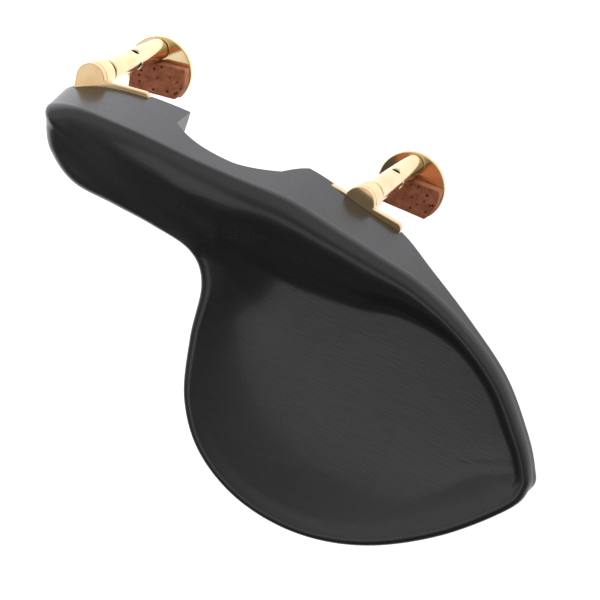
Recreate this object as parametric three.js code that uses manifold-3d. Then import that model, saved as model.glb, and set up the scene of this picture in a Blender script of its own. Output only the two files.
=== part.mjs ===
// Side-mounted violin chin rest: a dished wooden cup with an arm over the tailpiece,
// held to the violin's edge by two screw clamps with cork-faced seats and feet.
//
// Frame, in millimetres: +Z is up, away from the violin's top plate. z = 0 is the underside
// of the seat corks. The origin is midway between the two clamp axes. The cup lies towards
// -X, the arm's free end towards +X, and the clamps stand on the -Y edge.

import * as THREE from "three";
import { mergeVertices } from "three/addons/utils/BufferGeometryUtils.js";
import Module from "manifold-3d";

const wasm = await Module();
wasm.setup();

// ---------------------------------------------------------------- driving dimensions

const CLAMP_SPACING = 65; // between the two clamp axes
const SEAT_CORK = 2.2; // thickness of the cork under each seat
const FOOT_CORK = 3; // thickness of the cork on each foot
const REST_GAP = 0.1; // between two faces that are glued or rest on each other
const FIT_GAP = 0.15; // round a piece let into another

const PLATE_THICK = 1.6; // bracket plate let into the wood, flush with its underside
const PLATE_TOP = 3.9; // its upper face
const COLLAR_R = 3.35; // collar below the plate, and the plate's round lug
const COLLAR_LENGTH = 6.2; // from the plate's upper face to the collar's lower end
const NECK = 2.6; // bare thread between the collar and the barrel
const BARREL_R = 2.5;
const BARREL_LENGTH = 28.6;
const BARREL_HOLE_R = 0.95; // cross holes for the turning key
const BARREL_HOLE_DROP = 13.4; // from the barrel's top to the cross holes
const STUD_R = 1.45; // threaded stud that the barrel turns on
const STUD_BORE_R = 1.62;
const STUD_ENGAGED = 11; // length of the stud inside the barrel
const PIN_R = 1.1; // swivel pin that carries the foot
const PIN_HEAD_R = 1.75;
const FOOT_R = 7.9; // round outline of the foot plate
const FOOT_CENTRE = [-0.9, 4.9]; // centre of that outline, from the clamp axis
const FOOT_CHORD = 10; // from the clamp axis to the foot's straight inner edge
const FOOT_CORK_START = 2.5; // from the clamp axis to the cork's outer edge
const FOOT_CORK_SIDE = 4.8; // from the clamp axis to the cork's trimmed side
const FOOT_THICK = 1.5;

const WOOD_BOTTOM = SEAT_CORK + REST_GAP; // underside of the wood at the seats
const WALL_LEAN = 0.15; // inward lean of the outer wall, mm per mm of height

// One row per station along the rest, from the arm's free end to the cup's point.
// edge: the wall side, [x, y, lower edge, top of the wall, crest, round-over, lip width,
//        seat depth].
// rim: the free side, [x, y, lower edge, top, round-over].
// spine: the middle line, [x, y, upper surface, lower surface, hump]. The top is a dish with a
//        lip where hump is 0, and a plain hump that falls towards the free side where it is 1.
const STATIONS = [
  {
    edge: [30, 0.6, 2.3, 16, 18.7, 4.6, 20, 13],
    rim: [24.9, 18.7, 7.8, 17.2, 3.2],
    spine: [24.5, 10.4, 18.3, 7.8, 1],
  },
  {
    edge: [20, -1.5, 2.3, 19, 21.1, 4.8, 20, 14],
    rim: [14.4, 19, 7.8, 18.2, 3.2],
    spine: [14.1, 12.7, 19.4, 7.6, 1],
  },
  {
    edge: [10, -2.2, 2.3, 20, 22.1, 5, 20, 14],
    rim: [4.5, 19.5, 8, 18.3, 3],
    spine: [3.7, 13.7, 19.8, 7.5, 0.95],
  },
  {
    edge: [0, -2.1, 2.3, 20, 22.3, 5, 16, 14],
    rim: [-4.8, 21.3, 9.1, 17.6, 2.6],
    spine: [-4.8, 15.8, 18.9, 7.4, 0.7],
  },
  {
    edge: [-11, -2.1, 2.3, 19.4, 21.9, 4.6, 12, 14],
    rim: [-9.3, 27.3, 10.6, 16.6, 2],
    spine: [-12.7, 20.7, 16.2, 7.3, 0.3],
  },
  {
    edge: [-22, -1.7, 2.3, 17.6, 20.5, 4, 14, 14],
    rim: [-10.9, 39.3, 12.3, 16.6, 1.5],
    spine: [-21.6, 26.4, 13.5, 7, 0.05],
  },
  {
    edge: [-33, 0.4, 2.3, 16.3, 19.2, 3.4, 13, 14],
    rim: [-14.5, 52.3, 13.7, 17.5, 1.3],
    spine: [-31.6, 31, 12.8, 6.8, 0],
  },
  {
    edge: [-43, 2.2, 2.8, 15.8, 18.3, 3, 10.5, 12],
    rim: [-21.9, 62.1, 14.2, 17.9, 1.3],
    spine: [-41.5, 34.5, 12.5, 6.6, 0],
  },
  {
    edge: [-53.4, 5.1, 8.5, 15, 17.5, 2.4, 6.5, 7],
    rim: [-33.8, 68.1, 14.3, 18, 1.3],
    spine: [-51.5, 37, 12.4, 6.5, 0],
  },
  {
    edge: [-65.3, 10.4, 11.8, 14.2, 16.9, 2, 3.6, 3],
    rim: [-48.2, 69.1, 14, 17.8, 1.3],
    spine: [-60.4, 38.5, 12.3, 6.6, 0],
  },
  {
    edge: [-76.3, 17.6, 12.4, 13.9, 16.5, 1.9, 3, 1.5],
    rim: [-62.6, 64.8, 13.7, 17.4, 1.3],
    spine: [-67.4, 39, 12.3, 6.9, 0],
  },
  {
    edge: [-84.5, 26.6, 12.4, 13.9, 16.3, 1.8, 2.8, 0.8],
    rim: [-76.5, 55.3, 13.3, 17, 1.3],
    spine: [-72.4, 39, 12.4, 7.3, 0],
  },
  {
    edge: [-88.8, 33, 12.4, 14, 16.2, 1.6, 2.6, 0.4],
    rim: [-87.6, 43.2, 12.9, 16.6, 1.3],
    spine: [-75.4, 38.7, 12.7, 7.8, 0],
  },
];
// The outline beyond the first and the last station, in the columns of edge.
const CUP_POINT = [[-90.1, 37.5, 12.5, 14.4, 16.3, 1.4, 2.6, 0.3]];
const ARM_END = [
  [33.3, 15.7, 5.6, 12.6, 16.9, 4, 20, 3],
  [37, 9.8, 3, 11.6, 17.2, 4.8, 20, 8],
  [37.4, 4.8, 2.3, 12.6, 17.8, 4.8, 20, 11],
];
const RIM_LIP = 3; // lip width of the free side
const RIM_TUCK = 1.8; // the rim's lower edge lies this far in under its top
// How far the dish has risen from its floor to the crest where it meets the edge.
const EDGE_RISE = 0.3;
const RIM_RISE = 0.96;
const HUMP_SLOPE = 0.4; // fall of the arm's hump across the spine, mm per mm

// Arch over the tailpiece: a channel across the wood's underside.
const ARCH = { armSide: 9.1, cupSide: -19.5, crown: 14.8, shoulder: 9, fall: 0.36 };

// ---------------------------------------------------------------- solids and meshes

function toSolid(geometry) {
  const bare = geometry.clone();
  for (const name of Object.keys(bare.attributes)) {
    if (name !== "position") bare.deleteAttribute(name);
  }
  const merged = mergeVertices(bare, 1e-4);
  const index = merged.index.array;
  const kept = [];
  for (let i = 0; i < index.length; i += 3) {
    const [a, b, c] = index.slice(i, i + 3);
    if (a !== b && b !== c && c !== a) kept.push(a, b, c);
  }
  return new wasm.Manifold(
    new wasm.Mesh({
      numProp: 3,
      vertProperties: new Float32Array(merged.attributes.position.array),
      triVerts: new Uint32Array(kept),
    }),
  );
}

function toGeometry(solid) {
  const mesh = solid.getMesh();
  const geometry = new THREE.BufferGeometry();
  geometry.setAttribute("position", new THREE.BufferAttribute(mesh.vertProperties, 3));
  geometry.setIndex(new THREE.BufferAttribute(mesh.triVerts, 1));
  return geometry;
}

// A turned piece about Z from [radius, z] points, listed from the top down along the outside.
function turned(points, segments = 24) {
  const profile = points.map(([r, z]) => new THREE.Vector2(r, z)).reverse();
  return new THREE.LatheGeometry(profile, segments).rotateX(Math.PI / 2);
}

// A plate of a plan outline, from z = low to z = high.
function plate(shape, low, high, curveSegments = 10) {
  const settings = { depth: high - low, bevelEnabled: false, curveSegments };
  return new THREE.ExtrudeGeometry(shape, settings).translate(0, 0, low);
}

function rod(radius, low, high, segments = 24) {
  return new THREE.CylinderGeometry(radius, radius, high - low, segments)
    .rotateX(Math.PI / 2)
    .translate(0, 0, (low + high) / 2);
}

// ---------------------------------------------------------------- materials

const MATERIALS = {
  ebony: { color: 0x1b1a1c, roughness: 0.22, metalness: 0 },
  gold: { color: 0xe6c277, roughness: 0.16, metalness: 1 },
  steel: { color: 0xc9c4b8, roughness: 0.3, metalness: 1 },
  cork: { color: 0x7b432c, roughness: 0.9, metalness: 0 },
};

const model = new THREE.Group();

function add(name, geometry, finish, parent = model) {
  const mesh = new THREE.Mesh(geometry, new THREE.MeshStandardMaterial(MATERIALS[finish]));
  mesh.name = name;
  parent.add(mesh);
}

// ---------------------------------------------------------------- wooden body

// Catmull-Rom values, column by column, at share t of the way from row b to row c.
function between(a, b, c, d, t) {
  return b.map((value, k) => {
    const slope = (c[k] - a[k]) / 2;
    const nextSlope = (d[k] - b[k]) / 2;
    const rise = c[k] - value;
    const square = 3 * rise - 2 * slope - nextSlope;
    const cube = slope + nextSlope - 2 * rise;
    return value + t * (slope + t * (square + t * cube));
  });
}

// Outline columns shared by both sides: the station's own columns, then the inset of the lower
// edge, the inset of the wall's top, and the share of the dish's rise at the edge.
function edgeRow(columns) {
  return [...columns, 0, (columns[3] - columns[2]) * WALL_LEAN, EDGE_RISE];
}

// At the cup's point the dish's rise is halfway between those of its two sides.
function pointRow(columns) {
  return [...edgeRow(columns).slice(0, -1), (EDGE_RISE + RIM_RISE) / 2];
}

function rimRow([x, y, low, top, round]) {
  return [x, y, low, top - round * 0.7, top, round, RIM_LIP, 0, RIM_TUCK, 0, RIM_RISE];
}

// Samples right round the outline. Each holds its outline values, its point on the spine and the
// gradient of the upper surface there.
function outlineSamples(perSegment) {
  const count = STATIONS.length;
  const rows = [
    ...STATIONS.map((s, i) => ({ values: edgeRow(s.edge), station: i })),
    ...CUP_POINT.map((row) => ({ values: pointRow(row), station: count - 1 })),
    ...STATIONS.map((s, i) => ({ values: rimRow(s.rim), station: i })).reverse(),
    ...ARM_END.map((row) => ({ values: edgeRow(row), station: 0 })),
  ];
  const spine = STATIONS.map((s) => s.spine);
  const samples = [];
  rows.forEach((row, i) => {
    const at = (k) => rows[(i + k + rows.length) % rows.length];
    for (let step = 0; step < perSegment; step++) {
      const t = step / perSegment;
      const values = between(at(-1).values, row.values, at(1).values, at(2).values, t);
      const place = row.station + (at(1).station - row.station) * t;
      const middle = spinePoint(spine, place);
      const gradient = topGradient(middle, spinePoint(spine, place + 0.05));
      samples.push({ values, spine: middle, gradient });
    }
  });
  return samples;
}

function spinePoint(spine, place) {
  const i = Math.min(Math.floor(place), spine.length - 2);
  const at = (k) => spine[Math.max(0, Math.min(spine.length - 1, k))];
  return between(at(i - 1), at(i), at(i + 1), at(i + 2), place - i);
}

// Gradient of the upper surface at a spine point: across the spine it is the hump's fall towards
// +Y, and along the spine it is the spine's own rise.
function topGradient([x, y, top, , hump], [nextX, nextY, nextTop]) {
  const along = new THREE.Vector2(nextX - x, nextY - y);
  const rise = (nextTop - top) / along.length();
  along.normalize();
  const fall = new THREE.Vector2(0, -HUMP_SLOPE * hump);
  return fall.addScaledVector(along, rise - fall.dot(along));
}

// Inward unit normal of the outline at sample i.
function inwardNormal(samples, i) {
  const before = samples[(i + samples.length - 1) % samples.length].values;
  const after = samples[(i + 1) % samples.length].values;
  const along = new THREE.Vector2(after[0] - before[0], after[1] - before[1]).normalize();
  return new THREE.Vector2(along.y, -along.x);
}

// Smooth fall from 1 at the crest to 0 at the far side of the lip.
function lipShape(u) {
  return u >= 1 ? 0 : (1 - u * u) ** 2;
}

// One spoke of the body: points from the spine's underside, out round the edge, to its top.
function bodySpoke(samples, i, rings) {
  const [x, y, low, ridge, crest, roundOver, lip, seat, lowIn, topIn, dishShare] =
    samples[i].values;
  const [sx, sy, topZ, underZ, hump] = samples[i].spine;
  const reach = new THREE.Vector2(sx - x, sy - y);
  const length = reach.length();
  reach.normalize();
  // A slanting spoke is longer than the straight inset that it stands for.
  const slant = 1 / Math.max(0.55, reach.dot(inwardNormal(samples, i)));
  const point = (inset, z) => {
    const [px, py] = inset < length ? [x + reach.x * inset, y + reach.y * inset] : [sx, sy];
    return new THREE.Vector3(px, py, z);
  };

  const share = dishShare + (1 - dishShare) * hump;
  const slope = -samples[i].gradient.dot(reach);
  // The round-over turns through 90 degrees and on until it lies along the surface inside it.
  const fullRun = length - (topIn + roundOver) * slant;
  const inwardFall = (2 * (crest - topZ) * share) / fullRun - slope;
  const lastTurn = Math.atan2(crest - ridge, -inwardFall * roundOver * slant);
  const roundPoint = (turn) => [
    (topIn + roundOver * (1 - Math.cos(turn))) * slant,
    ridge + (crest - ridge) * Math.sin(turn),
  ];
  const [crestInset, crestZ] = roundPoint(lastTurn);
  const run = length - crestInset;
  const lipReach = Math.min(lip * slant, run);
  const curve = (crestZ - topZ) * share - slope * run;
  const dish = (inset) => {
    const out = length - inset;
    return topZ + slope * out + curve * (out / run) ** 2;
  };

  const spoke = [];
  const seatInset = Math.min(seat * slant, length * 0.8);
  const hollowStart = Math.max(seatInset, lowIn * slant) + 1.2;
  for (let k = 0; k < rings.under; k++) {
    const inset = k > 0 ? length - ((length - hollowStart) * k) / (rings.under - 1) : length;
    const rise = Math.max(0, low - underZ) * (1 - inset / length) ** 2;
    spoke.push(point(inset, underZ + rise));
  }
  const seatOuter = (lowIn + 0.4) * slant;
  const seatInner = Math.max(seatInset, seatOuter);
  for (let k = 0; k < rings.seat; k++) {
    spoke.push(point(seatInner + ((seatOuter - seatInner) * k) / rings.seat, low));
  }
  for (let k = 0; k <= rings.wall; k++) {
    const up = k / rings.wall;
    const inset = (lowIn + (topIn - lowIn) * up) * slant;
    spoke.push(point(inset, low + 0.4 + (ridge - low - 0.4) * up));
  }
  for (let k = 1; k <= rings.round; k++) {
    spoke.push(point(...roundPoint((lastTurn * k) / rings.round)));
  }
  const lipRise = crestZ - dish(crestInset);
  for (let k = 1; k <= rings.top; k++) {
    const inset = k < rings.top ? crestInset + run * (k / rings.top) ** 1.5 : length;
    spoke.push(point(inset, dish(inset) + lipRise * lipShape((inset - crestInset) / lipReach)));
  }
  return spoke;
}

function bodyBlank() {
  const rings = { under: 5, seat: 3, wall: 3, round: 4, top: 9 };
  const samples = outlineSamples(4);
  const spokes = samples.map((_, i) => bodySpoke(samples, i, rings));
  const perSpoke = spokes[0].length;
  const positions = spokes.flat().flatMap((p) => [p.x, p.y, p.z]);
  const index = [];
  for (let i = 0; i < spokes.length; i++) {
    const next = (i + 1) % spokes.length;
    for (let k = 0; k < perSpoke - 1; k++) {
      const [a, b] = [i * perSpoke + k, i * perSpoke + k + 1];
      const [c, d] = [next * perSpoke + k, next * perSpoke + k + 1];
      index.push(a, b, d, a, d, c);
    }
  }
  const geometry = new THREE.BufferGeometry();
  geometry.setAttribute("position", new THREE.Float32BufferAttribute(positions, 3));
  geometry.setIndex(index);
  return geometry;
}

// Channel under the arch: a steep side at the arm, a long easy curve at the cup. Its ceiling
// falls away from the wall until it meets the hollow underside.
function archChannel() {
  const shape = new THREE.Shape();
  shape.moveTo(ARCH.armSide, -2);
  shape.lineTo(ARCH.armSide, ARCH.shoulder);
  shape.bezierCurveTo(ARCH.armSide - 3.7, ARCH.crown - 1.8, 0, ARCH.crown, -6, ARCH.crown);
  shape.bezierCurveTo(-9, ARCH.crown, -13, 11.8, ARCH.cupSide + 3.6, ARCH.shoulder);
  shape.quadraticCurveTo(ARCH.cupSide + 1.6, WOOD_BOTTOM + 1.6, ARCH.cupSide, WOOD_BOTTOM);
  shape.lineTo(ARCH.cupSide - 2, -2);
  const length = 40;
  const settings = { depth: length, bevelEnabled: false, curveSegments: 6 };
  return new THREE.ExtrudeGeometry(shape, settings)
    .rotateX(Math.PI / 2)
    .translate(0, length / 2, 0)
    .applyMatrix4(new THREE.Matrix4().makeShear(0, 0, 0, -ARCH.fall, 0, 0));
}

// ---------------------------------------------------------------- clamps

const CLAMPS = [
  {
    name: "cup",
    x: -CLAMP_SPACING / 2,
    plateTurn: -5.6,
    footTurn: 2,
    longWingEnd: -10.5,
    shortWing: true,
    screws: [[-7, 5], [4.6, 5.6]],
  },
  {
    name: "arm",
    x: CLAMP_SPACING / 2,
    plateTurn: 9,
    footTurn: 10,
    longWingEnd: -14,
    shortWing: false,
    screws: [[-10, 5], [1, 7.6]],
  },
];
const BARREL_TURN = -6; // turn of the cross holes at rest
// Plan rectangles of the seat corks: near holds the outer edge's y at each end.
const SEATS = {
  cup: { left: -43, right: -20.4, near: [3.4, -0.6], far: 13 },
  arm: { left: 10, right: 33.5, near: [-1.2, 1.8], far: 12.5 },
};
const WING_EDGE = -0.3; // outer edge of the wings, from the clamp axis
const SHORT_WING_END = 7.8;
const WING_CORNER_R = 1.3;
const SCREW_LAND_R = 2.7; // metal round each screw
const SCREW_R = 0.9;
const SCREW_HEAD_R = 1.9;
const SCREW_LENGTH = 7;
const PILOT_GAP = 0.05;

const radians = THREE.MathUtils.degToRad;
const collarEnd = PLATE_TOP - COLLAR_LENGTH;
const barrelTop = collarEnd - NECK;
const barrelEnd = barrelTop - BARREL_LENGTH;
const footTop = barrelEnd - 0.4;
const footBottom = footTop - FOOT_THICK;

// Bracket outline: a round lug on the clamp axis, wings along the wood's edge and land round the
// two screws. Both brackets have a long wing towards -X, and the cup's has a short one opposite.
function wingOutline(clamp, grow = 0) {
  const [lug, corner, land] = [COLLAR_R + grow, WING_CORNER_R + grow, SCREW_LAND_R + grow];
  const cornerY = WING_EDGE + WING_CORNER_R;
  const edgeTurn = Math.asin((grow - WING_EDGE) / lug);
  const lugEnd = clamp.shortWing ? -edgeTurn : radians(10);
  const [left, right] = clamp.screws;
  const shape = new THREE.Shape();
  shape.absarc(0, 0, lug, edgeTurn - Math.PI, lugEnd, false);
  if (clamp.shortWing) {
    const cornerX = SHORT_WING_END - WING_CORNER_R;
    shape.absarc(cornerX, cornerY, corner, radians(-90), radians(5), false);
  }
  shape.absarc(right[0], right[1], land, radians(5), radians(95), false);
  shape.absarc(left[0], left[1], land, radians(95), radians(180), false);
  const cornerX = clamp.longWingEnd + WING_CORNER_R;
  shape.absarc(cornerX, cornerY, corner, radians(180), radians(270), false);
  return shape;
}

function pilotHoles(clamp) {
  const [low, high] = [WOOD_BOTTOM, PLATE_TOP + SCREW_LENGTH - 0.4];
  return clamp.screws.map(([x, y]) => rod(SCREW_R + PILOT_GAP, low, high, 16).translate(x, y, 0));
}

// Bracket plate with countersunk screw holes and a shallow socket for the collar's spigot.
function bracketPlate(clamp) {
  const bottom = PLATE_TOP - PLATE_THICK;
  let solid = toSolid(plate(wingOutline(clamp), bottom, PLATE_TOP));
  for (const [x, y] of clamp.screws) {
    const sink = turned([
      [0, PLATE_TOP + 1],
      [SCREW_R + FIT_GAP, PLATE_TOP + 1],
      [SCREW_R + FIT_GAP, PLATE_TOP - 0.2],
      [SCREW_HEAD_R + FIT_GAP, bottom],
      [SCREW_HEAD_R + FIT_GAP, bottom - 1],
      [0, bottom - 1],
    ]);
    solid = solid.subtract(toSolid(sink.translate(x, y, 0)));
  }
  return toGeometry(solid.subtract(toSolid(rod(2.2, bottom - 1, bottom + 0.5))));
}

// Collar: a post under the plate's lug, threaded from below for the stud.
function collar() {
  const top = PLATE_TOP - PLATE_THICK - REST_GAP;
  return turned([
    [0, top + 0.4],
    [2.1, top + 0.4],
    [2.1, top],
    [COLLAR_R, top],
    [COLLAR_R, collarEnd + 0.3],
    [COLLAR_R - 0.3, collarEnd],
    [STUD_R + FIT_GAP, collarEnd],
    [STUD_R + FIT_GAP, top - 1],
    [0, top - 1],
  ], 32);
}

function bracketScrew() {
  const head = PLATE_TOP - PLATE_THICK + 0.05;
  return turned([
    [0, head + SCREW_LENGTH],
    [SCREW_R * 0.7, head + SCREW_LENGTH - 1],
    [SCREW_R, head + SCREW_LENGTH - 2],
    [SCREW_R, head + 1],
    [SCREW_HEAD_R, head],
    [0, head],
  ], 16);
}

// Fixed threaded stud: from inside the collar down into the barrel.
function upperStud() {
  const top = PLATE_TOP - PLATE_THICK - 1.4;
  return rod(STUD_R, barrelTop - STUD_ENGAGED, top, 20);
}

// Barrel: threaded bore from the top, cross holes for the key, and a chamber at the bottom
// that holds the swivel pin's head.
function barrel() {
  const body = turned([
    [STUD_BORE_R, barrelTop],
    [BARREL_R - 0.3, barrelTop],
    [BARREL_R, barrelTop - 0.3],
    [BARREL_R, barrelEnd + 0.3],
    [BARREL_R - 0.3, barrelEnd],
    [PIN_R + 0.2, barrelEnd],
    [PIN_R + 0.2, barrelEnd + 1.6],
    [PIN_HEAD_R + 0.2, barrelEnd + 1.6],
    [PIN_HEAD_R + 0.2, barrelEnd + 5.2],
    [STUD_BORE_R, barrelEnd + 5.6],
    [STUD_BORE_R, barrelTop],
  ], 32);
  const hole = rod(BARREL_HOLE_R, -4, 4, 16).rotateX(Math.PI / 2);
  const height = barrelTop - BARREL_HOLE_DROP;
  const across = hole.clone().translate(0, 0, height);
  const along = hole.rotateZ(Math.PI / 2).translate(0, 0, height);
  return toGeometry(toSolid(body).subtract(toSolid(across)).subtract(toSolid(along)));
}

// Swivel pin: its head turns inside the barrel, its foot is riveted over below the plate.
function swivelPin() {
  const low = footBottom - 0.15;
  return turned([
    [0, barrelEnd + 4.9],
    [PIN_HEAD_R - 0.2, barrelEnd + 4.9],
    [PIN_HEAD_R, barrelEnd + 4.6],
    [PIN_HEAD_R, barrelEnd + 1.8],
    [PIN_R, barrelEnd + 1.8],
    [PIN_R, low],
    [2.3, low],
    [1.9, low - 0.6],
    [0, low - 0.8],
  ]);
}

// Foot outline: a round plate off the clamp axis, cut straight on its inner side, and on its
// outer side too when start gives a second cut.
function footOutline(shrink, start) {
  const [x, y] = FOOT_CENTRE;
  const r = FOOT_R - shrink;
  const inner = Math.asin((FOOT_CHORD - y - shrink) / r);
  const outer = start === undefined ? -Math.PI / 2 : Math.asin((start - y) / r);
  const shape = new THREE.Shape();
  shape.absarc(x, y, r, outer, inner, false);
  shape.absarc(x, y, r, Math.PI - inner, Math.PI - outer, false);
  return shape;
}

function footPlate() {
  const hole = new THREE.Path().absarc(0, 0, PIN_R + 0.12, 0, 2 * Math.PI, true);
  const shape = footOutline(0);
  shape.holes.push(hole);
  return plate(shape, footBottom, footTop, 14);
}

function footCork() {
  const bottom = footTop + REST_GAP;
  const pad = plate(footOutline(0.2, FOOT_CORK_START), bottom, bottom + FOOT_CORK);
  const clearance = rod(BARREL_R + 0.4, bottom - 1, bottom + FOOT_CORK + 1);
  const trim = new THREE.BoxGeometry(8, 30, 20).translate(FOOT_CORK_SIDE + 4, 0, bottom);
  return toGeometry(toSolid(pad).subtract(toSolid(clearance)).subtract(toSolid(trim)));
}

// ---------------------------------------------------------------- seats

// Cork under a seat: a rounded pad that leaves room for the collar.
function seatCork(clamp) {
  const shape = new THREE.Shape();
  const { left, right, near, far } = SEATS[clamp.name];
  const r = 3;
  shape.absarc(left + r, near[0] + r, r, Math.PI, 1.5 * Math.PI, false);
  shape.absarc(right - r, near[1] + r, r, 1.5 * Math.PI, 2 * Math.PI, false);
  shape.absarc(right - r, far - r, r, 0, 0.5 * Math.PI, false);
  shape.absarc(left + r, far - r, r, 0.5 * Math.PI, Math.PI, false);
  const pad = toSolid(plate(shape, 0, SEAT_CORK));
  const clearance = rod(COLLAR_R + 0.35, -1, SEAT_CORK + 1).translate(clamp.x, 0, 0);
  return toGeometry(pad.subtract(toSolid(clearance)));
}

// ---------------------------------------------------------------- assembly

function addClamp(clamp) {
  const group = new THREE.Group();
  group.position.x = clamp.x;
  model.add(group);
  const bracket = new THREE.Group();
  bracket.rotation.z = radians(clamp.plateTurn);
  group.add(bracket);
  add(`${clamp.name}_bracket_plate`, bracketPlate(clamp), "gold", bracket);
  add(`${clamp.name}_collar`, collar(), "gold", bracket);
  clamp.screws.forEach(([x, y], i) => {
    add(`${clamp.name}_bracket_screw_${i + 1}`, bracketScrew().translate(x, y, 0), "steel", bracket);
  });
  add(`${clamp.name}_upper_stud`, upperStud(), "steel", group);
  const turn = new THREE.Group();
  turn.rotation.z = radians(BARREL_TURN);
  group.add(turn);
  add(`${clamp.name}_barrel`, barrel(), "gold", turn);
  add(`${clamp.name}_swivel_pin`, swivelPin(), "steel", group);
  const foot = new THREE.Group();
  foot.rotation.z = radians(clamp.footTurn);
  group.add(foot);
  add(`${clamp.name}_foot_plate`, footPlate(), "gold", foot);
  add(`${clamp.name}_foot_cork`, footCork(), "cork", foot);
}

function chinrestBody() {
  let solid = toSolid(bodyBlank()).subtract(toSolid(archChannel()));
  for (const clamp of CLAMPS) {
    const mortise = plate(wingOutline(clamp, FIT_GAP), WOOD_BOTTOM - 4, PLATE_TOP + REST_GAP);
    for (const cut of [mortise, ...pilotHoles(clamp)]) {
      const placed = cut.rotateZ(radians(clamp.plateTurn)).translate(clamp.x, 0, 0);
      solid = solid.subtract(toSolid(placed));
    }
  }
  return toGeometry(solid);
}

add("chinrest_body", chinrestBody(), "ebony");
for (const clamp of CLAMPS) {
  add(`${clamp.name}_seat_cork`, seatCork(clamp), "cork");
  addClamp(clamp);
}

export default model;
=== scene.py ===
import math

import bmesh
import bpy
import numpy as np
from mathutils import Matrix, Vector, noise

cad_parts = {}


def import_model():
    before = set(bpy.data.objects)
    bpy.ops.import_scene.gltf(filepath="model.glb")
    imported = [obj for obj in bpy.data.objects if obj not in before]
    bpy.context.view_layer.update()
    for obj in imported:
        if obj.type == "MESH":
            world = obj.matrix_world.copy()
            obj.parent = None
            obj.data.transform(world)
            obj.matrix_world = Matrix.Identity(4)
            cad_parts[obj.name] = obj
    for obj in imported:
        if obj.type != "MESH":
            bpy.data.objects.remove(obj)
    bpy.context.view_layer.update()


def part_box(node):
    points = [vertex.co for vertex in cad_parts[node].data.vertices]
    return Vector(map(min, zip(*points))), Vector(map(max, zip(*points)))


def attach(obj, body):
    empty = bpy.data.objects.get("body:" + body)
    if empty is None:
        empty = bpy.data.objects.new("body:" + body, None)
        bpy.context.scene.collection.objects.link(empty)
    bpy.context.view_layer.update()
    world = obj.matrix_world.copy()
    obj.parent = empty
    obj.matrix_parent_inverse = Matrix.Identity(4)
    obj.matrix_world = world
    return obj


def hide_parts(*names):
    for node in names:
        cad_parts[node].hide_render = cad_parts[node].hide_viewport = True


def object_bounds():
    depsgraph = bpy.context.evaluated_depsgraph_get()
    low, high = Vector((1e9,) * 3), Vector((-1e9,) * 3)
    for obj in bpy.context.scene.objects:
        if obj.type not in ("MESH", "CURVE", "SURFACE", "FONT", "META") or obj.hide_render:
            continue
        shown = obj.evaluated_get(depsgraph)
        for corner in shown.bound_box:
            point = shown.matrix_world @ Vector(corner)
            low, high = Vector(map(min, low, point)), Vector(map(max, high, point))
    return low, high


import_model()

MM = 0.001
scene = bpy.context.scene

# ---------------------------------------------------------------- mesh helpers (millimetres in, metres out)


def link(mesh, name):
    obj = bpy.data.objects.new(name, mesh)
    scene.collection.objects.link(obj)
    return obj


def from_lists(name, verts, faces):
    """An object from millimetre points and faces."""
    mesh = bpy.data.meshes.new(name)
    mesh.from_pydata([tuple(c * MM for c in v) for v in verts], [], faces)
    mesh.validate()
    return link(mesh, name)


def outward(obj):
    bm = bmesh.new()
    bm.from_mesh(obj.data)
    bmesh.ops.recalc_face_normals(bm, faces=bm.faces)
    bm.to_mesh(obj.data)
    bm.free()


def smooth(obj, angle=32):
    obj.data.shade_smooth()
    obj.data.set_sharp_from_angle(angle=math.radians(angle))
    return obj


def weighted(obj):
    modifier = obj.modifiers.new("even_normals", "WEIGHTED_NORMAL")
    modifier.keep_sharp = True
    modifier.weight = 80
    return obj


def bake(obj):
    """Applies the modifiers by keeping the evaluated mesh."""
    depsgraph = bpy.context.evaluated_depsgraph_get()
    mesh = bpy.data.meshes.new_from_object(obj.evaluated_get(depsgraph))
    obj.modifiers.clear()
    old, obj.data = obj.data, mesh
    bpy.data.meshes.remove(old)
    return obj


def cut(obj, *cutters):
    """Subtracts the cutters from obj and removes them."""
    for cutter in cutters:
        modifier = obj.modifiers.new("cut", "BOOLEAN")
        modifier.operation = "DIFFERENCE"
        modifier.solver = "EXACT"
        modifier.object = cutter
        bake(obj)
        bpy.data.objects.remove(cutter)
    return obj


def rounded(points, radius, steps=4):
    """The polyline with each inner corner rounded by an arc-like curve."""
    out = [points[0]]
    for a, b, c in zip(points, points[1:], points[2:]):
        a, b, c = Vector(a), Vector(b), Vector(c)
        back, ahead = (a - b), (c - b)
        reach = min(radius, back.length * 0.48, ahead.length * 0.48)
        start, end = b + back.normalized() * reach, b + ahead.normalized() * reach
        for k in range(steps + 1):
            t = k / steps
            out.append(tuple(start * (1 - t) ** 2 + b * (2 * t * (1 - t)) + end * t * t))
    out.append(points[-1])
    return out


def lathe(name, profile, segments=96):
    """A turned piece about Z: profile of (radius, z), from one end to the other.

    A profile that starts and ends on the axis closes itself, and any other is a closed loop.
    """
    verts, faces, rings = [], [], []
    for r, z in profile:
        if r < 1e-6:
            rings.append([len(verts)])
            verts.append((0, 0, z))
        else:
            rings.append([len(verts) + k for k in range(segments)])
            for k in range(segments):
                a = 2 * math.pi * k / segments
                verts.append((r * math.cos(a), r * math.sin(a), z))
    loop = len(rings[0]) > 1
    pairs = list(zip(rings, rings[1:] + rings[:1])) if loop else list(zip(rings, rings[1:]))
    for a, b in pairs:
        for k in range(segments):
            n = (k + 1) % segments
            face = [a[k % len(a)], a[n % len(a)], b[n % len(b)], b[k % len(b)]]
            faces.append(list(dict.fromkeys(face)))
    obj = from_lists(name, verts, faces)
    outward(obj)
    return obj


def rod(name, radius, low, high, segments=48):
    return lathe(name, [(0, low), (radius, low), (radius, high), (0, high)], segments)


def arc(cx, cy, r, start, end, steps=16):
    """Points on an arc, from start to end in degrees, anticlockwise."""
    while end < start:
        end += 360
    span = [math.radians(start + (end - start) * k / steps) for k in range(steps + 1)]
    return [(cx + r * math.cos(a), cy + r * math.sin(a)) for a in span]


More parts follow.
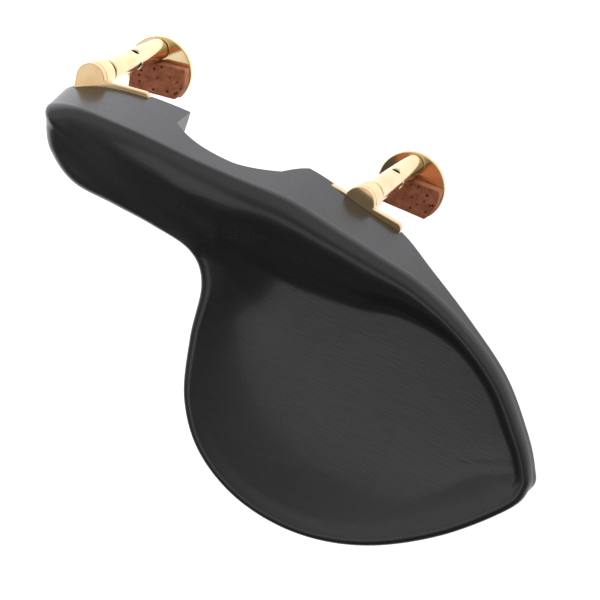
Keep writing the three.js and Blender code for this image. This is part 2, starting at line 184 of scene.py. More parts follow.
def inset(points, d):
    """The closed anticlockwise outline moved in by d."""
    out = []
    n = len(points)
    for i in range(n):
        p, q, r = (Vector(points[(i + k) % n]) for k in (-1, 0, 1))
        u, v = (q - p).normalized(), (r - q).normalized()
        nu, nv = Vector((-u.y, u.x)), Vector((-v.y, v.x))
        m = (nu + nv).normalized()
        out.append(tuple(q + m * (d / max(0.35, m.dot(nu)))))
    return out


def slab(name, outline, low, high, bevel=0.2, steps=3):
    """A plate of an outline with rounded upper and lower edges."""
    rows = []
    for k in range(steps + 1):
        a = math.pi / 2 * k / steps
        rows.append((bevel * (1 - math.sin(a)), low + bevel * (1 - math.cos(a))))
    for k in range(steps + 1):
        a = math.pi / 2 * (1 - k / steps)
        rows.append((bevel * (1 - math.sin(a)), high - bevel * (1 - math.cos(a))))
    verts, faces = [], []
    n = len(outline)
    for d, z in rows:
        verts += [(x, y, z) for x, y in inset(outline, d)]
    for r in range(len(rows) - 1):
        for i in range(n):
            j = (i + 1) % n
            faces.append([r * n + i, r * n + j, (r + 1) * n + j, (r + 1) * n + i])
    faces.append(list(range(n))[::-1])
    faces.append([(len(rows) - 1) * n + i for i in range(n)])
    obj = from_lists(name, verts, faces)
    outward(obj)
    return obj


def place(obj, x, y=0.0, turn=0.0):
    """Turns the mesh about Z and moves it, in millimetres and degrees."""
    obj.data.transform(
        Matrix.Translation((x * MM, y * MM, 0)) @ Matrix.Rotation(math.radians(turn), 4, "Z")
    )
    return obj


# ---------------------------------------------------------------- materials


def material(name):
    mat = bpy.data.materials.new(name)
    mat.use_nodes = True
    nodes, links = mat.node_tree.nodes, mat.node_tree.links
    return mat, nodes, links, nodes["Principled BSDF"]


def node(nodes, kind, **values):
    made = nodes.new(kind)
    for key, value in values.items():
        if key in made.inputs:
            made.inputs[key].default_value = value
        else:
            setattr(made, key, value)
    return made


def stretched(nodes, links, scale):
    """Object coordinates, in metres, stretched by scale."""
    coords = node(nodes, "ShaderNodeTexCoord")
    mapping = node(nodes, "ShaderNodeMapping")
    mapping.inputs["Scale"].default_value = scale
    links.new(coords.outputs["Object"], mapping.inputs["Vector"])
    return mapping.outputs["Vector"]


def ramp(nodes, links, source, stops):
    made = node(nodes, "ShaderNodeValToRGB")
    elements = made.color_ramp.elements
    while len(elements) < len(stops):
        elements.new(0.5)
    for element, (at, colour) in zip(elements, stops):
        element.position = at
        element.color = (*colour, 1) if len(colour) == 3 else colour
    links.new(source, made.inputs["Fac"])
    return made.outputs["Color"]


def grey(v):
    return (v, v, v)


def ebony():
    mat, nodes, links, shader = material("ebony")
    along = stretched(nodes, links, (90, 900, 900))
    grain = node(nodes, "ShaderNodeTexNoise", Scale=1.0, Detail=6.0, Roughness=0.62)
    links.new(along, grain.inputs["Vector"])
    colour = ramp(nodes, links, grain.outputs["Fac"], [
        (0.30, (0.0072, 0.0073, 0.0092)),
        (0.62, (0.0118, 0.0118, 0.0146)),
        (0.80, (0.0205, 0.0188, 0.0200)),
    ])
    links.new(colour, shader.inputs["Base Color"])
    pores = node(nodes, "ShaderNodeTexNoise", Scale=1.0, Detail=3.0, Roughness=0.6)
    links.new(stretched(nodes, links, (260, 3600, 3600)), pores.inputs["Vector"])
    rough = ramp(nodes, links, pores.outputs["Fac"], [(0.35, grey(0.24)), (0.75, grey(0.34))])
    links.new(rough, shader.inputs["Roughness"])
    bump = node(nodes, "ShaderNodeBump", Strength=0.12, Distance=0.00004)
    links.new(pores.outputs["Fac"], bump.inputs["Height"])
    links.new(bump.outputs["Normal"], shader.inputs["Normal"])
    shader.inputs["IOR"].default_value = 1.56
    shader.inputs["Coat Weight"].default_value = 0.15
    shader.inputs["Coat Roughness"].default_value = 0.08
    shader.inputs["Coat IOR"].default_value = 1.5
    return mat


def plated(name, base, worn, roughness, turned=False):
    """Polished plating with faint tone changes and fine polishing or turning lines."""
    mat, nodes, links, shader = material(name)
    cloud = node(nodes, "ShaderNodeTexNoise", Scale=1.0, Detail=3.0)
    links.new(stretched(nodes, links, (240, 240, 240)), cloud.inputs["Vector"])
    colour = ramp(nodes, links, cloud.outputs["Fac"], [(0.32, worn), (0.62, base)])
    links.new(colour, shader.inputs["Base Color"])
    shader.inputs["Metallic"].default_value = 1.0
    lines = node(nodes, "ShaderNodeTexNoise", Scale=1.0, Detail=4.0, Roughness=0.6)
    scale = (60, 60, 9000) if turned else (5200, 420, 5200)
    links.new(stretched(nodes, links, scale), lines.inputs["Vector"])
    rough = ramp(nodes, links, lines.outputs["Fac"], [
        (0.3, grey(roughness * 0.7)), (0.75, grey(roughness * 1.5)),
    ])
    links.new(rough, shader.inputs["Roughness"])
    bump = node(nodes, "ShaderNodeBump", Strength=0.1, Distance=0.00001)
    links.new(lines.outputs["Fac"], bump.inputs["Height"])
    links.new(bump.outputs["Normal"], shader.inputs["Normal"])
    return mat


def cork():
    mat, nodes, links, shader = material("cork")
    mix = node(nodes, "ShaderNodeTexNoise", Scale=1.0, Detail=8.0, Roughness=0.65)
    links.new(stretched(nodes, links, (520, 520, 520)), mix.inputs["Vector"])
    tone = ramp(nodes, links, mix.outputs["Fac"], [
        (0.30, (0.290, 0.100, 0.052)),
        (0.50, (0.460, 0.165, 0.088)),
        (0.72, (0.600, 0.245, 0.135)),
    ])
    spots = node(nodes, "ShaderNodeTexVoronoi", Scale=1.0, Randomness=1.0)
    links.new(stretched(nodes, links, (620, 620, 380)), spots.inputs["Vector"])
    pores = ramp(nodes, links, spots.outputs["Distance"], [(0.10, grey(1)), (0.26, grey(0))])
    blend = node(nodes, "ShaderNodeMix", data_type="RGBA")
    links.new(pores, blend.inputs["Factor"])
    links.new(tone, blend.inputs["A"])
    blend.inputs["B"].default_value = (0.035, 0.012, 0.007, 1)
    links.new(blend.outputs["Result"], shader.inputs["Base Color"])
    shader.inputs["Roughness"].default_value = 0.85
    shader.inputs["Specular IOR Level"].default_value = 0.25
    height = node(nodes, "ShaderNodeMath", operation="SUBTRACT")
    links.new(mix.outputs["Fac"], height.inputs[0])
    links.new(pores, height.inputs[1])
    bump = node(nodes, "ShaderNodeBump", Strength=0.6, Distance=0.00018)
    links.new(height.outputs["Value"], bump.inputs["Height"])
    links.new(bump.outputs["Normal"], shader.inputs["Normal"])
    return mat


EBONY = ebony()
GOLD = plated("gold_plate", (0.86, 0.62, 0.36), (0.78, 0.52, 0.27), 0.09)
TURNED_GOLD = plated("turned_gold", (0.90, 0.74, 0.46), (0.84, 0.64, 0.35), 0.11, turned=True)
# painted shade: a near-black, rougher metal for the insides of the bores
BORE_SHADE = plated("bore", (0.030, 0.022, 0.016), (0.012, 0.009, 0.007), 0.45, turned=True)
STEEL = plated("steel", (0.62, 0.60, 0.56), (0.50, 0.48, 0.45), 0.24, turned=True)
CORK = cork()


def piece(obj, finish, body, slot, *replaced):
    obj.data.materials.clear()
    obj.data.materials.append(finish)
    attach(obj, body)
    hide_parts(*replaced)
    return obj


# ---------------------------------------------------------------- wooden body

# One row per station from the arm's free end to the cup's point, in millimetres.
# edge, the wall side: x, y, lower edge, top of the wall, crest, round-over, lip width, seat depth.
# rim, the free side: x, y, lower edge, top, round-over.
# spine, the middle line: x, y, upper surface, lower surface, hump (0 dish with a lip, 1 plain hump).
STATIONS = [
    ([30, 0.6, 2.3, 16, 18.7, 4.6, 20, 13], [24.9, 18.7, 7.8, 17.2, 3.2], [24.5, 10.4, 18.3, 7.8, 1]),
    ([20, -1.5, 2.3, 19, 21.1, 4.8, 20, 14], [14.4, 19, 7.8, 18.2, 3.2], [14.1, 12.7, 19.4, 7.6, 1]),
    ([10, -2.2, 2.3, 20, 22.1, 5, 20, 14], [4.5, 19.5, 8, 18.3, 3], [3.7, 13.7, 19.8, 7.5, 0.95]),
    ([0, -2.1, 2.3, 20, 22.3, 5, 16, 14], [-4.8, 21.3, 9.1, 17.6, 2.6], [-4.8, 15.8, 18.9, 7.4, 0.7]),
    ([-11, -2.1, 2.3, 19.4, 21.9, 4.6, 12, 14], [-9.3, 27.3, 10.6, 16.6, 2], [-12.7, 20.7, 16.2, 7.3, 0.3]),
    ([-22, -1.7, 2.3, 17.6, 20.5, 4, 14, 14], [-10.9, 39.3, 12.3, 16.6, 1.5], [-21.6, 26.4, 13.5, 7, 0.05]),
    ([-33, 0.4, 2.3, 16.3, 19.2, 3.4, 13, 14], [-14.5, 52.3, 13.7, 17.5, 1.3], [-31.6, 31, 12.8, 6.8, 0]),
    ([-43, 2.2, 2.8, 15.8, 18.3, 3, 10.5, 12], [-21.9, 62.1, 14.2, 17.9, 1.3], [-41.5, 34.5, 12.5, 6.6, 0]),
    ([-53.4, 5.1, 8.5, 15, 17.5, 2.4, 6.5, 7], [-33.8, 68.1, 14.3, 18, 1.3], [-51.5, 37, 12.4, 6.5, 0]),
    ([-65.3, 10.4, 11.8, 14.2, 16.9, 2, 3.6, 3], [-48.2, 69.1, 14, 17.8, 1.3], [-60.4, 38.5, 12.3, 6.6, 0]),
    ([-76.3, 17.6, 12.4, 13.9, 16.5, 1.9, 3, 1.5], [-62.6, 64.8, 13.7, 17.4, 1.3], [-67.4, 39, 12.3, 6.9, 0]),
    ([-84.5, 26.6, 12.4, 13.9, 16.3, 1.8, 2.8, 0.8], [-76.5, 55.3, 13.3, 17, 1.3], [-72.4, 39, 12.4, 7.3, 0]),
    ([-88.8, 33, 12.4, 14, 16.2, 1.6, 2.6, 0.4], [-87.6, 43.2, 12.9, 16.6, 1.3], [-75.4, 38.7, 12.7, 7.8, 0]),
]
CUP_POINT = [[-90.1, 37.5, 12.5, 14.4, 16.3, 1.4, 2.6, 0.3]]
ARM_END = [
    [33.3, 15.7, 5.6, 12.6, 16.9, 4, 20, 3],
    [37, 9.8, 3, 11.6, 17.2, 4.8, 20, 8],
    [37.4, 4.8, 2.3, 12.6, 17.8, 4.8, 20, 11],
]
WALL_LEAN = 0.15
RIM_LIP, RIM_TUCK = 3, 1.8
EDGE_RISE, RIM_RISE, HUMP_SLOPE = 0.3, 0.96, 0.4
SAMPLES_PER_STATION = 20
RINGS = {"under": 16, "seat": 10, "wall": 14, "round": 12, "top": 44}


def between(a, b, c, d, t):
    a, b, c, d = (np.asarray(v, float) for v in (a, b, c, d))
    slope, next_slope, rise = (c - a) / 2, (d - b) / 2, c - b
    square, cube = 3 * rise - 2 * slope - next_slope, slope + next_slope - 2 * rise
    return b + t * (slope + t * (square + t * cube))


def edge_row(row):
    return [*row, 0, (row[3] - row[2]) * WALL_LEAN, EDGE_RISE]


def point_row(row):
    return [*edge_row(row)[:-1], (EDGE_RISE + RIM_RISE) / 2]


def rim_row(row):
    x, y, low, top, round_ = row
    return [x, y, low, top - round_ * 0.7, top, round_, RIM_LIP, 0, RIM_TUCK, 0, RIM_RISE]


def spine_point(spine, place_):
    i = min(int(place_), len(spine) - 2)
    at = lambda k: spine[max(0, min(len(spine) - 1, k))]
    return between(at(i - 1), at(i), at(i + 1), at(i + 2), place_ - i)


def top_gradient(here, ahead):
    """Gradient of the top at the spine: the hump's fall across it, the spine's rise along it."""
    along = Vector((ahead[0] - here[0], ahead[1] - here[1]))
    rise = (ahead[2] - here[2]) / along.length
    along.normalize()
    fall = Vector((0, -HUMP_SLOPE * here[4]))
    return fall + along * (rise - fall.dot(along))


def outline_samples():
    last = len(STATIONS) - 1
    rows = [(edge_row(s[0]), i) for i, s in enumerate(STATIONS)]
    rows += [(point_row(row), last) for row in CUP_POINT]
    rows += [(rim_row(s[1]), i) for i, s in enumerate(STATIONS)][::-1]
    rows += [(edge_row(row), 0) for row in ARM_END]
    spine = [s[2] for s in STATIONS]
    samples = []
    for i in range(len(rows)):
        near = [rows[(i + k) % len(rows)] for k in (-1, 0, 1, 2)]
        for step in range(SAMPLES_PER_STATION):
            t = step / SAMPLES_PER_STATION
            values = between(*(row[0] for row in near), t)
            at = near[1][1] + (near[2][1] - near[1][1]) * t
            middle = spine_point(spine, at)
            gradient = top_gradient(middle, spine_point(spine, at + 0.05))
            samples.append((values, middle, gradient))
    return samples


def body_spoke(samples, i):
    """Points from the spine's underside, out round the edge, to the spine's top."""
    values, (sx, sy, top_z, under_z, hump), gradient = samples[i]
    x, y, low, ridge, crest, round_over, lip, seat, low_in, top_in, dish_share = values
    before, after = samples[i - 1][0], samples[(i + 1) % len(samples)][0]
    along = Vector((after[0] - before[0], after[1] - before[1])).normalized()
    reach = Vector((sx - x, sy - y))
    length = reach.length
    reach.normalize()
    slant = 1 / max(0.55, reach.dot(Vector((along.y, -along.x))))

    def point(inset_, z):
        if inset_ >= length:
            return (sx, sy, z)
        return (x + reach.x * inset_, y + reach.y * inset_, z)

    share = dish_share + (1 - dish_share) * hump
    slope = -gradient.dot(reach)
    full_run = length - (top_in + round_over) * slant
    inward_fall = 2 * (crest - top_z) * share / full_run - slope
    last_turn = math.atan2(crest - ridge, -inward_fall * round_over * slant)

    def round_point(turn):
        d = (top_in + round_over * (1 - math.cos(turn))) * slant
        return d, ridge + (crest - ridge) * math.sin(turn)

    crest_in, crest_z = round_point(last_turn)
    run = length - crest_in
    lip_reach = min(lip * slant, run)
    curve = (crest_z - top_z) * share - slope * run
    dish = lambda d: top_z + slope * (length - d) + curve * ((length - d) / run) ** 2
    lip_shape = lambda u: 0 if u >= 1 else (1 - u * u) ** 2

    spoke = []
    seat_in = min(seat * slant, length * 0.8)
    hollow = max(seat_in, low_in * slant) + 1.2
    for k in range(RINGS["under"]):
        d = length - (length - hollow) * k / (RINGS["under"] - 1)
        rise = max(0, low - under_z) * (1 - d / length) ** 2
        spoke.append(point(d if k else length, under_z + rise))
    outer = (low_in + 0.4) * slant
    inner = max(seat_in, outer)
    for k in range(RINGS["seat"]):
        spoke.append(point(inner + (outer - inner) * k / RINGS["seat"], low))
    for k in range(RINGS["wall"] + 1):
        up = k / RINGS["wall"]
        d = (low_in + (top_in - low_in) * up) * slant
        spoke.append(point(d, low + 0.4 + (ridge - low - 0.4) * up))
    for k in range(1, RINGS["round"] + 1):
        spoke.append(point(*round_point(last_turn * k / RINGS["round"])))
    lip_rise = crest_z - dish(crest_in)
    for k in range(1, RINGS["top"] + 1):
        d = crest_in + run * (k / RINGS["top"]) ** 1.5 if k < RINGS["top"] else length
        spoke.append(point(d, dish(d) + lip_rise * lip_shape((d - crest_in) / lip_reach)))
    return spoke


def body_blank():
    samples = outline_samples()
    spokes = [body_spoke(samples, i) for i in range(len(samples))]
    per = len(spokes[0])
    verts = [p for spoke in spokes for p in spoke]
    faces = []
    for i in range(len(spokes)):
        n = (i + 1) % len(spokes)
        for k in range(per - 1):
            faces.append([i * per + k, i * per + k + 1, n * per + k + 1, n * per + k])
    obj = from_lists("ebony_body", verts, faces)
    bm = bmesh.new()
    bm.from_mesh(obj.data)
    tip = [v for i, v in enumerate(bm.verts) if i % per >= per - 30 and v.co.x < -60 * MM]
    bmesh.ops.remove_doubles(bm, verts=bm.verts, dist=1e-6)
    bmesh.ops.dissolve_degenerate(bm, edges=bm.edges, dist=1e-7)
    bmesh.ops.recalc_face_normals(bm, faces=bm.faces)
    tip = [v for v in tip if v.is_valid]
    for _ in range(40):  # evens out the dish where the spokes meet near the cup's point
        bmesh.ops.smooth_vert(bm, verts=tip, factor=0.5, use_axis_z=True)
    bm.to_mesh(obj.data)
    bm.free()
    return obj


ARCH = {"arm": 9.1, "cup": -19.5, "crown": 14.8, "shoulder": 9, "fall": 0.36}


def bezier(points, steps):
    """Points along a Bezier curve, without its first point."""
    out = []
    for k in range(1, steps + 1):
        layer = [Vector(p) for p in points]
        while len(layer) > 1:
            layer = [a.lerp(b, k / steps) for a, b in zip(layer, layer[1:])]
        out.append(tuple(layer[0]))
    return out


def arch_channel():
    arm, cup, crown, shoulder = (ARCH[k] for k in ("arm", "cup", "crown", "shoulder"))
    outline = [(arm, -2), (arm, shoulder)]
    outline += bezier([outline[-1], (arm - 3.7, crown - 1.8), (0, crown), (-6, crown)], 24)
    outline += bezier([outline[-1], (-9, crown), (-13, 11.8), (cup + 3.6, shoulder)], 24)
    outline += bezier([outline[-1], (cup + 1.6, 3.9), (cup, 2.3)], 10)
    outline += [(cup - 2, -2)]
    obj = slab("arch_channel", outline, -20, 20, bevel=0.001, steps=1)
    fall = Matrix.Identity(4)
    fall[2][1] = -ARCH["fall"]
    obj.data.transform(fall @ Matrix.Rotation(math.pi / 2, 4, "X"))
    return obj


# ---------------------------------------------------------------- clamps

WING_CORNER_R, SCREW_LAND_R, COLLAR_R = 1.3, 2.7, 3.35
WING_EDGE, SHORT_WING_END = -0.3, 7.8
SCREW_R, SCREW_HEAD_R, SINK_GAP = 0.9, 1.9, 0.15
SPIGOT_R, SPIGOT_HEIGHT, SOCKET_R = 2.1, 0.4, 2.2
STUD_R, STUD_BORE_R = 1.45, 1.62
BARREL_R, BARREL_HOLE_R, BARREL_HOLE_DROP, BARREL_TURN = 2.5, 0.95, 13.4, -6
PIN_R, PIN_HEAD_R, RIVET_R = 1.1, 1.75, 2.3
CLAMPS = {
    "cup": {"plate": -5.6, "foot": 2, "end": -10.5, "short": True, "screws": [(-7, 5), (4.6, 5.6)]},
    "arm": {"plate": 9, "foot": 10, "end": -14, "short": False, "screws": [(-10, 5), (1, 7.6)]},
}


def z_range(name):
    low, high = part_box(name)
    return low[2] / MM, high[2] / MM


def axis_x(clamp):
    low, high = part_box(clamp + "_barrel")
    return (low[0] + high[0]) / 2 / MM


def wing_outline(clamp, grow=0.0):
    spec = CLAMPS[clamp]
    lug, corner, land = COLLAR_R + grow, WING_CORNER_R + grow, SCREW_LAND_R + grow
    corner_y = WING_EDGE + WING_CORNER_R
    edge_turn = math.degrees(math.asin((grow - WING_EDGE) / lug))
    left, right = spec["screws"]
    out = arc(0, 0, lug, edge_turn - 180, -edge_turn if spec["short"] else 10, 28)
    if spec["short"]:
        out += arc(SHORT_WING_END - WING_CORNER_R, corner_y, corner, -90, 5)
    out += arc(*right, land, 5, 95) + arc(*left, land, 95, 180)
    return out + arc(spec["end"] + WING_CORNER_R, corner_y, corner, 180, 270)


def bracket_plate(clamp):
    low, high = z_range(clamp + "_bracket_plate")
    obj = slab(clamp + "_plate", wing_outline(clamp), low, high, bevel=0.22)
    for x, y in CLAMPS[clamp]["screws"]:
        hole, head = SCREW_R + SINK_GAP, SCREW_HEAD_R + SINK_GAP
        sink = lathe("sink", [(0, high + 1), (hole, high + 1), (hole, high - 0.2),
                              (head, low), (head, low - 1), (0, low - 1)], 48)
        cut(obj, place(sink, x, y))
    cut(obj, rod("socket", SOCKET_R, low - 1, low + 0.5))
    return weighted(smooth(place(obj, axis_x(clamp), 0, CLAMPS[clamp]["plate"])))


def collar(clamp):
    low, high = z_range(clamp + "_collar")
    top = high - SPIGOT_HEIGHT
    bore = STUD_R + 0.15
    profile = [(0, high), (SPIGOT_R, high), (SPIGOT_R, top), (COLLAR_R, top), (COLLAR_R, low),
               (bore, low), (bore, top - 1), (0, top - 1)]
    obj = lathe(clamp + "_post", rounded(profile, 0.28), 128)
    return weighted(smooth(place(obj, axis_x(clamp))))


def threaded(name, radius, low, high, pitch=0.7, depth=0.3, segments=64, per_pitch=10):
    """A rod with a right-hand helical thread and pointed-in ends."""
    rows = int((high - low) / pitch * per_pitch)
    verts, faces = [], []
    for r in range(rows + 1):
        z = low + (high - low) * r / rows
        end = min(1, (z - low) / 0.5, (high - z) / 0.5)
        for k in range(segments):
            a = 2 * math.pi * k / segments
            phase = (z / pitch - k / segments) % 1
            groove = abs(phase - 0.5) * 2
            rad = radius - depth * (1 - min(1, groove * 1.25)) - 0.35 * (1 - end)
            verts.append((rad * math.cos(a), rad * math.sin(a), z))
    for r in range(rows):
        for k in range(segments):
            n = (k + 1) % segments
            faces.append([r * segments + k, r * segments + n,
                          (r + 1) * segments + n, (r + 1) * segments + k])
    faces.append(list(range(segments))[::-1])
    faces.append([rows * segments + k for k in range(segments)])
    obj = from_lists(name, verts, faces)
    outward(obj)
    return obj


def barrel(clamp):
    low, high = z_range(clamp + "_barrel")
    pin_hole, chamber = PIN_R + 0.2, PIN_HEAD_R + 0.2
    inner = [(STUD_BORE_R, high), (BARREL_R, high), (BARREL_R, low), (pin_hole, low),
             (pin_hole, low + 1.6), (chamber, low + 1.6), (chamber, low + 5.2),
             (STUD_BORE_R, low + 5.6)]
    profile = rounded([inner[-1], *inner, inner[0]], 0.32, 5)[1:-1]
    obj = lathe(clamp + "_turned_barrel", profile, 128)
    height = high - BARREL_HOLE_DROP
    sunk = 1.5  # radius of each hole's countersunk mouth
    for turn in (BARREL_TURN, BARREL_TURN + 90):
        hole = lathe("hole", [(0, -4), (sunk, -4), (sunk, -2.75), (BARREL_HOLE_R, -2.2),
                              (BARREL_HOLE_R, 2.2), (sunk, 2.75), (sunk, 4), (0, 4)], 48)
        lay = Matrix.Rotation(math.radians(turn), 4, "Z") @ Matrix.Rotation(math.pi / 2, 4, "X")
        hole.data.transform(Matrix.Translation((0, 0, height * MM)) @ lay)
        cut(obj, hole)
    return weighted(smooth(place(obj, axis_x(clamp)), 40))


def paint_bore_shade(obj, x):
    """Gives the faces inside the barrel's outer wall, the drilled bores, painted shade: a near-black metal
    that is also rougher than the plating.
    """
    obj.data.materials.append(BORE_SHADE)
    for face in obj.data.polygons:
        if math.hypot(face.center.x - x * MM, face.center.y) < (BARREL_R - 0.3) * MM:
            face.material_index = 1


def swivel_pin(clamp):
    low, high = z_range(clamp + "_swivel_pin")
    rest = low + 0.8
    profile = [(0, high), (PIN_HEAD_R, high), (PIN_HEAD_R, high - 3.1), (PIN_R, high - 3.1),
               (PIN_R, rest), (RIVET_R, rest), (2.1, low + 0.3), (1.3, low + 0.05), (0, low)]
    obj = lathe(clamp + "_rivet", rounded(profile, 0.25), 64)
    return weighted(smooth(place(obj, axis_x(clamp))))


FOOT_R, FOOT_CENTRE, FOOT_CHORD = 7.9, (-0.9, 4.9), 10
FOOT_CORK_START, FOOT_CORK_SIDE = 2.5, 4.8


def foot_outline(shrink=0.0, start=None):
    x, y = FOOT_CENTRE
    r = FOOT_R - shrink
    inner = math.degrees(math.asin((FOOT_CHORD - y - shrink) / r))
    outer = -90 if start is None else math.degrees(math.asin((start - y) / r))
    steps = 48 if start is None else 24
    return arc(x, y, r, outer, inner, steps) + arc(x, y, r, 180 - inner, 180 - outer, steps)


def foot_plate(clamp):
    low, high = z_range(clamp + "_foot_plate")
    outline = foot_outline()[:-1]
    obj = slab(clamp + "_foot", outline, low, high, bevel=0.3, steps=4)
    cut(obj, rod("pin_hole", PIN_R + 0.12, low - 1, high + 1))
    return weighted(smooth(place(obj, axis_x(clamp), 0, CLAMPS[clamp]["foot"])))


def cork_slab(name, outline, low, high, seed, *cutters):
    """A cork pad: dense sides with small pits and a slightly uneven cut edge."""
    obj = cut(slab(name, outline, low, high, bevel=0.12, steps=2), *cutters)
    bm = bmesh.new()
    bm.from_mesh(obj.data)
    caps = [f for f in bm.faces if len(f.verts) > 4]
    bmesh.ops.triangulate(bm, faces=caps)
    bm.to_mesh(obj.data)
    bm.free()
    remesh = obj.modifiers.new("remesh", "REMESH")
    remesh.mode = "VOXEL"
    remesh.voxel_size = 0.16 * MM
    bake(obj)
    mesh = obj.data
    normals = [v.normal.copy() for v in mesh.vertices]
    for v, n in zip(mesh.vertices, normals):
        p = v.co * 1000 + Vector((seed * 17.0, 0, 0))
        coarse = noise.noise(p * 0.55) * 0.05
        cells = noise.voronoi(p * 0.8)[0][0]
        pit = max(0.0, 0.34 - cells) * 0.35
        v.co += n * (coarse - pit - 0.03) * MM
    mesh.update()
    return smooth(obj, 180)


def foot_cork(clamp):
    low, high = z_range(clamp + "_foot_cork")
    outline = foot_outline(0.2, FOOT_CORK_START)
    side = FOOT_CORK_SIDE
    corners = [(side, -9), (side + 9, -9), (side + 9, 20), (side, 20)]
    trim = slab("trim", corners, low - 1, high + 1, 0.01)
    room = rod("room", BARREL_R + 0.4, low - 1, high + 1)
    seed = 1 if clamp == "cup" else 2
    obj = cork_slab(clamp + "_foot_pad", outline, low, high, seed, trim, room)
    return place(obj, axis_x(clamp), 0, CLAMPS[clamp]["foot"])


def wood_screw(clamp, i):
    name = f"{clamp}_bracket_screw_{i + 1}"
    low, high = z_range(name)
    profile = [(0, low), (SCREW_HEAD_R, low), (SCREW_R, low + 1), (SCREW_R, low + 1.4),
               (SCREW_R, high - 2), (0.12, high), (0, high)]
    obj = lathe(f"{clamp}_screw_{i + 1}", rounded(profile, 0.1, 2), 48)
    x, y = CLAMPS[clamp]["screws"][i]
    corners = [(-2.2, -0.2), (2.2, -0.2), (2.2, 0.2), (-2.2, 0.2)]
    slot = slab("slot", corners, low - 1, low + 0.45, 0.01)
    cut(obj, slot)
    place(obj, x, y)
    return smooth(place(obj, axis_x(clamp), 0, CLAMPS[clamp]["plate"]))


# Plan rectangles of the seat corks: left, right, the outer edge's y at each end, far edge.
SEATS = {"cup": (-43, -20.4, (3.4, -0.6), 13), "arm": (10, 33.5, (-1.2, 1.8), 12.5)}


def seat_cork(clamp):
    low, high = z_range(clamp + "_seat_cork")
    left, right, near, far = SEATS[clamp]
    r = 3
    outline = arc(left + r, near[0] + r, r, 180, 270, 8) + arc(right - r, near[1] + r, r, 270, 360, 8)
    outline += arc(right - r, far - r, r, 0, 90, 8) + arc(left + r, far - r, r, 90, 180, 8)
    obj = slab(clamp + "_seat_pad", outline, low, high, 0.1, 2)
    cut(obj, place(rod("clear", COLLAR_R + 0.35, low - 1, high + 1, 96), axis_x(clamp)))
    bake(obj)
    remesh = obj.modifiers.new("remesh", "REMESH")
    remesh.mode = "VOXEL"
    remesh.voxel_size = 0.25 * MM
    bake(obj)
    return smooth(obj, 180)


def build_clamp(clamp):
    piece(bracket_plate(clamp), GOLD, "rest", "gold", clamp + "_bracket_plate")
    piece(collar(clamp), TURNED_GOLD, "rest", "gold", clamp + "_collar")
    low, high = z_range(clamp + "_upper_stud")
    stud = place(threaded(clamp + "_thread", STUD_R, low, high), axis_x(clamp))
    piece(smooth(stud, 50), STEEL, "rest", "steel", clamp + "_upper_stud")
    for i in range(2):
        screw = wood_screw(clamp, i)
        piece(screw, STEEL, "rest", "steel", f"{clamp}_bracket_screw_{i + 1}")
    made = piece(barrel(clamp), TURNED_GOLD, clamp + "_barrel", "gold", clamp + "_barrel")
    paint_bore_shade(made, axis_x(clamp))
    piece(swivel_pin(clamp), STEEL, clamp + "_carrier", "steel", clamp + "_swivel_pin")
    piece(foot_plate(clamp), TURNED_GOLD, clamp + "_foot", "gold", clamp + "_foot_plate")
    piece(foot_cork(clamp), CORK, clamp + "_foot", "cork", clamp + "_foot_cork")
    piece(seat_cork(clamp), CORK, "rest", "cork", clamp + "_seat_cork")


def build_body():
    obj = body_blank()
    cut(obj, arch_channel())
    for clamp, spec in CLAMPS.items():
        low, high = z_range(clamp + "_bracket_plate")
        mortise = slab("mortise", wing_outline(clamp, 0.15), low - 3, high + 0.1, 0.001, 1)
        cut(obj, place(mortise, axis_x(clamp), 0, spec["plate"]))
    return smooth(obj, 38)


piece(build_body(), EBONY, "rest", "ebony", "chinrest_body")
for clamp_name in CLAMPS:
    build_clamp(clamp_name)

# ---------------------------------------------------------------- floor, light and camera

FLOOR_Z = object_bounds()[0][2] - 0.009  # below the feet with the clamps fully open


def floor():
    mesh = bpy.data.meshes.new("floor")
    s = 3.0
    mesh.from_pydata([(-s, -s, FLOOR_Z), (s, -s, FLOOR_Z), (s, s, FLOOR_Z), (-s, s, FLOOR_Z)],
                     [], [(0, 1, 2, 3)])
    obj = link(mesh, "floor")
    mat, nodes, links, shader = material("floor")
    shader.inputs["Base Color"].default_value = (0.92, 0.92, 0.92, 1)
    shader.inputs["Roughness"].default_value = 0.9
    # Painted light: the floor glows by its own emission, dimmer towards -X and brighter, slightly cool,
    # towards +X.
    shader.inputs["Emission Strength"].default_value = 1.0
    coords = node(nodes, "ShaderNodeTexCoord")
    split = node(nodes, "ShaderNodeSeparateXYZ")
    links.new(coords.outputs["Object"], split.inputs["Vector"])
    along = node(nodes, "ShaderNodeMapRange")
    links.new(split.outputs["X"], along.inputs["Value"])
    for key, value in (("From Min", -0.11), ("From Max", 0.03), ("To Min", 0.0), ("To Max", 1.0)):
        along.inputs[key].default_value = value
    glow = ramp(nodes, links, along.outputs["Result"], [
        (0.0, (0.66, 0.66, 0.67)), (1.0, (0.90, 0.91, 0.95)),
    ])
    links.new(glow, shader.inputs["Emission Color"])
    obj.data.materials.append(mat)


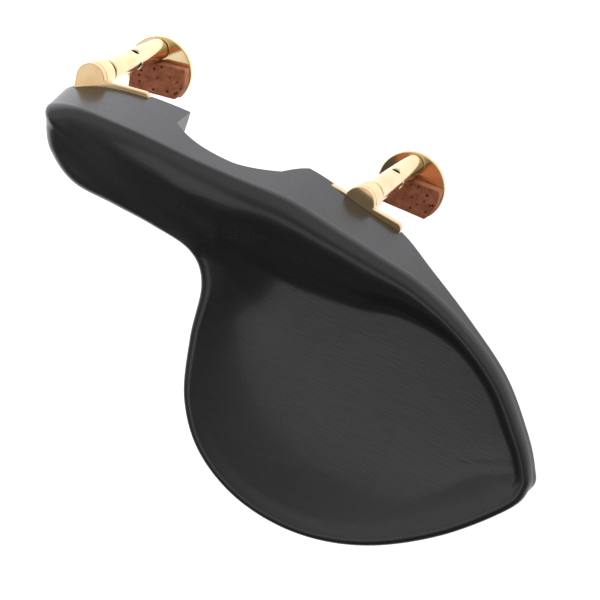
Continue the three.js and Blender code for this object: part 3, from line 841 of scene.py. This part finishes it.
def soft_box(name, at, target, size, watts, colour=(1, 1, 1)):
    light = bpy.data.lights.new(name, "AREA")
    light.shape = "RECTANGLE"
    light.size, light.size_y = size
    light.energy = watts
    light.color = colour
    obj = bpy.data.objects.new(name, light)
    scene.collection.objects.link(obj)
    obj.location = at
    obj.rotation_mode = "QUATERNION"
    obj.rotation_quaternion = (Vector(target) - Vector(at)).to_track_quat("-Z", "Y")
    return obj


def world():
    """Soft surround: brighter in front and low down, darker behind."""
    made = bpy.data.worlds.new("studio")
    scene.world = made
    made.use_nodes = True
    nodes, links = made.node_tree.nodes, made.node_tree.links
    background = nodes["Background"]
    coords = node(nodes, "ShaderNodeTexCoord")
    front = node(nodes, "ShaderNodeVectorMath", operation="DOT_PRODUCT")
    links.new(coords.outputs["Generated"], front.inputs[0])
    front.inputs[1].default_value = Vector((0.2, -0.9, -0.4)).normalized()
    share = node(nodes, "ShaderNodeMath", operation="MULTIPLY_ADD")
    links.new(front.outputs["Value"], share.inputs[0])
    share.inputs[1].default_value = 0.5
    share.inputs[2].default_value = 0.5
    sky = ramp(nodes, links, share.outputs["Value"], [
        (0.0, grey(0.07)), (0.08, grey(0.11)), (0.15, grey(0.17)), (0.22, grey(0.20)),
        (0.35, grey(0.28)), (0.5, grey(0.60)), (0.7, grey(0.60)), (1.0, grey(0.50)),
    ])
    links.new(sky, background.inputs["Color"])
    background.inputs["Strength"].default_value = 1.3


def camera():
    data = bpy.data.cameras.new("camera")
    obj = bpy.data.objects.new("camera", data)
    scene.collection.objects.link(obj)
    data.sensor_width = 36
    data.lens = 36 * 2630 / 600
    data.clip_start, data.clip_end = 0.01, 20
    right = Vector((-0.883085, -0.322643, -0.340679))
    down = Vector((-0.417014, 0.872498, 0.254649))
    ahead = Vector((0.215081, 0.366945, -0.905037))
    turn = Matrix((right, -down, -ahead)).transposed()
    obj.matrix_world = Matrix.Translation((-0.148368, -0.180025, 0.511021)) @ turn.to_4x4()
    scene.camera = obj


floor()
world()
soft_box("overhead", (0.26, 0.37, 1.12), (0, 0, 0), (0.80, 0.60), 1.05)
camera()
scene.view_settings.view_transform = "Standard"
scene.view_settings.look = "None"
